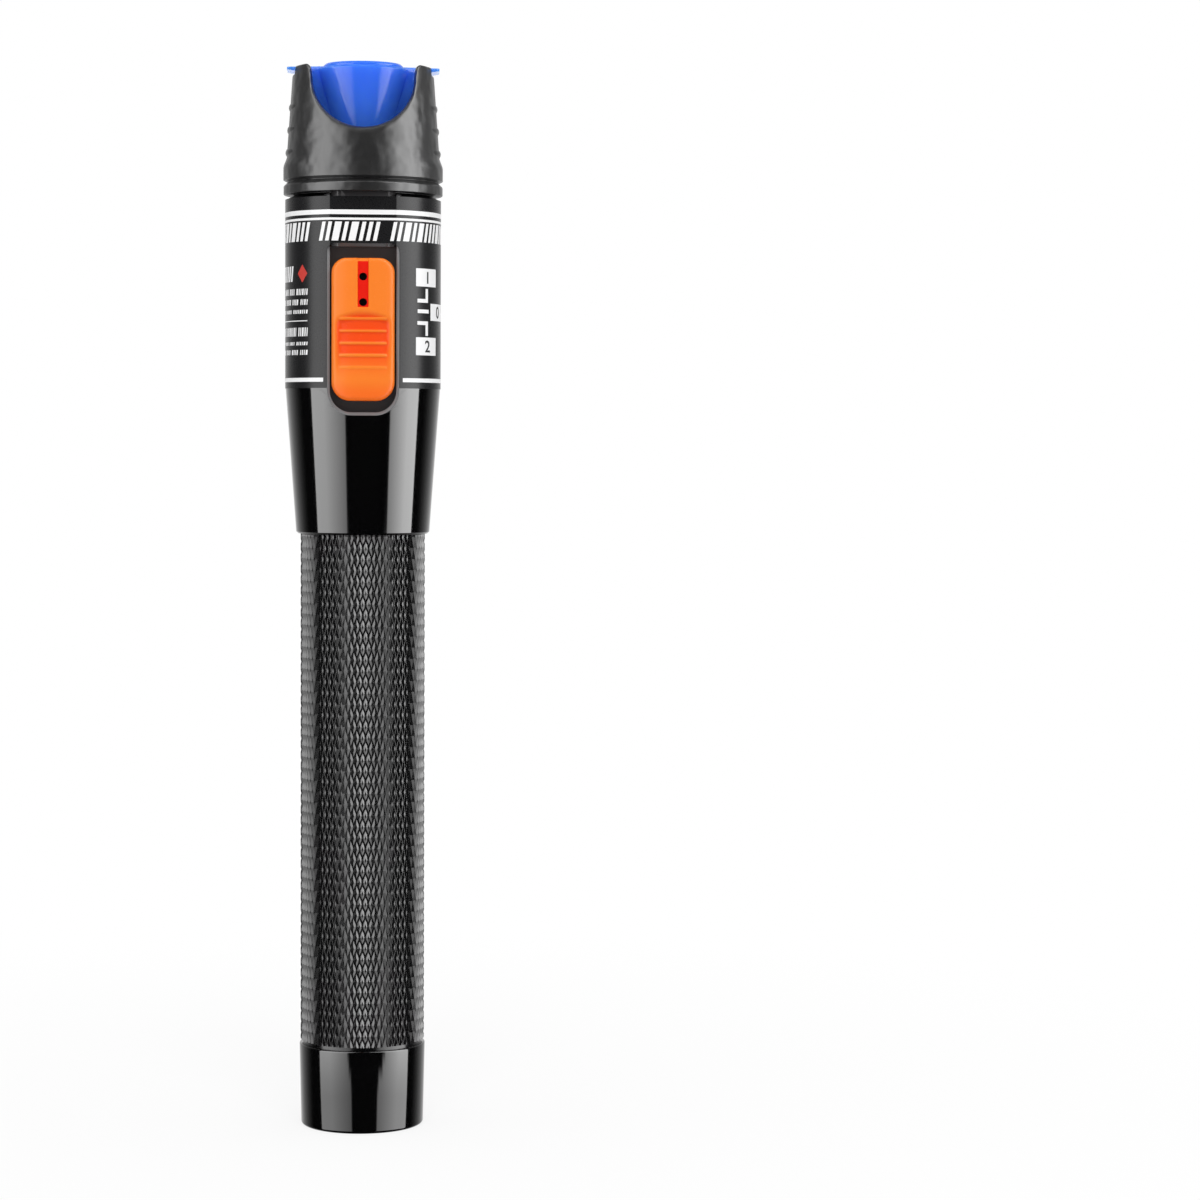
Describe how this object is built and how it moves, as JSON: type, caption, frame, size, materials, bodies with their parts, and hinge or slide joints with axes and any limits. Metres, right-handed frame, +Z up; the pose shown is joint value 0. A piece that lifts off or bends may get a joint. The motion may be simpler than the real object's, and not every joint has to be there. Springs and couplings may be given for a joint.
{
  "type": "visual fault locator",
  "caption": "Pen-shaped red laser tester for optical fibre: knurled grip, slide switch, guarded ferrule port with a pull-off dust cap and a screw-on tail cap.",
  "frame": {"origin": "centre of the tail cap's flat foot, on which the pen stands", "axes": "+Z up the pen's axis to the fibre port; -Y is the front, with the slide button; +X to the button's right"},
  "size_m": [0.026, 0.026, 0.1745],
  "materials": {
    "gloss_aluminium": "black anodised, polished",
    "knurled_aluminium": "black anodised, knurled, satin",
    "label_film": "dark grey printed film, satin",
    "black_plastic": "black moulding",
    "guard_plastic": "black moulding, satin",
    "orange_plastic": "orange moulding",
    "blue_plastic": "blue soft moulding",
    "brass": "turned",
    "spring_steel": "drawn wire",
    "steel": "plated sheet",
    "cell_jacket": "plain cell jacket",
    "board_green": "solder mask",
    "chip_black": "moulded package",
    "capacitor_tan": "moulded package",
    "gold_plate": "gold-plated can",
    "lens_glass": "ground and coated",
    "nickel_plate": "nickel-plated brass",
    "white_ceramic": "ground zirconia"
  },
  "bodies": {
    "pen": {"battery_lower": "cell_jacket", "battery_upper": "cell_jacket", "grip_tube": "knurled_aluminium", "head_shell": "gloss_aluminium", "label_film": "label_film", "inner_carrier": "black_plastic", "switch_case": "steel", "circuit_board": "board_green", "board_screws": "steel", "driver_chip": "chip_black", "inductor": "chip_black", "capacitors": "capacitor_tan", "contact_pin": "brass", "laser_housing": "brass", "laser_diode": "gold_plate", "focus_lens": "lens_glass", "port_barrel": "nickel_plate", "ceramic_sleeve": "white_ceramic", "head_guard": "guard_plastic"},
    "slider": {"slide_button": "orange_plastic", "slide_carriage": "black_plastic", "switch_lever": "black_plastic"},
    "tail_follower": {"tail_spring": "spring_steel"},
    "tail": {"tail_cap": "gloss_aluminium", "tail_contact": "brass"},
    "cap": {"dust_cap": "blue_plastic"}
  },
  "joints": [
    {"name": "button_slide", "type": "slide", "parent": "pen", "child": "slider", "axis": [0, 0, 1], "range_m": [-0.0017, 0.0017]},
    {"name": "dust_cap_pull", "type": "slide", "parent": "pen", "child": "cap", "axis": [0, 0, 1], "range_m": [0, 0.06]},
    {"name": "tail_travel", "type": "slide", "parent": "pen", "child": "tail_follower", "axis": [0, 0, -1], "range_m": [0, 0.006]},
    {"name": "tail_turn", "type": "hinge", "parent": "tail_follower", "child": "tail", "pos_m": [0, 0, 0.0068], "axis": [0, 0, -1], "range_deg": [0, 2160]}
  ],
  "couplings": [
    {"joint": "tail_travel", "follows": "tail_turn", "m_per_rad": 0.00015915}
  ]
}
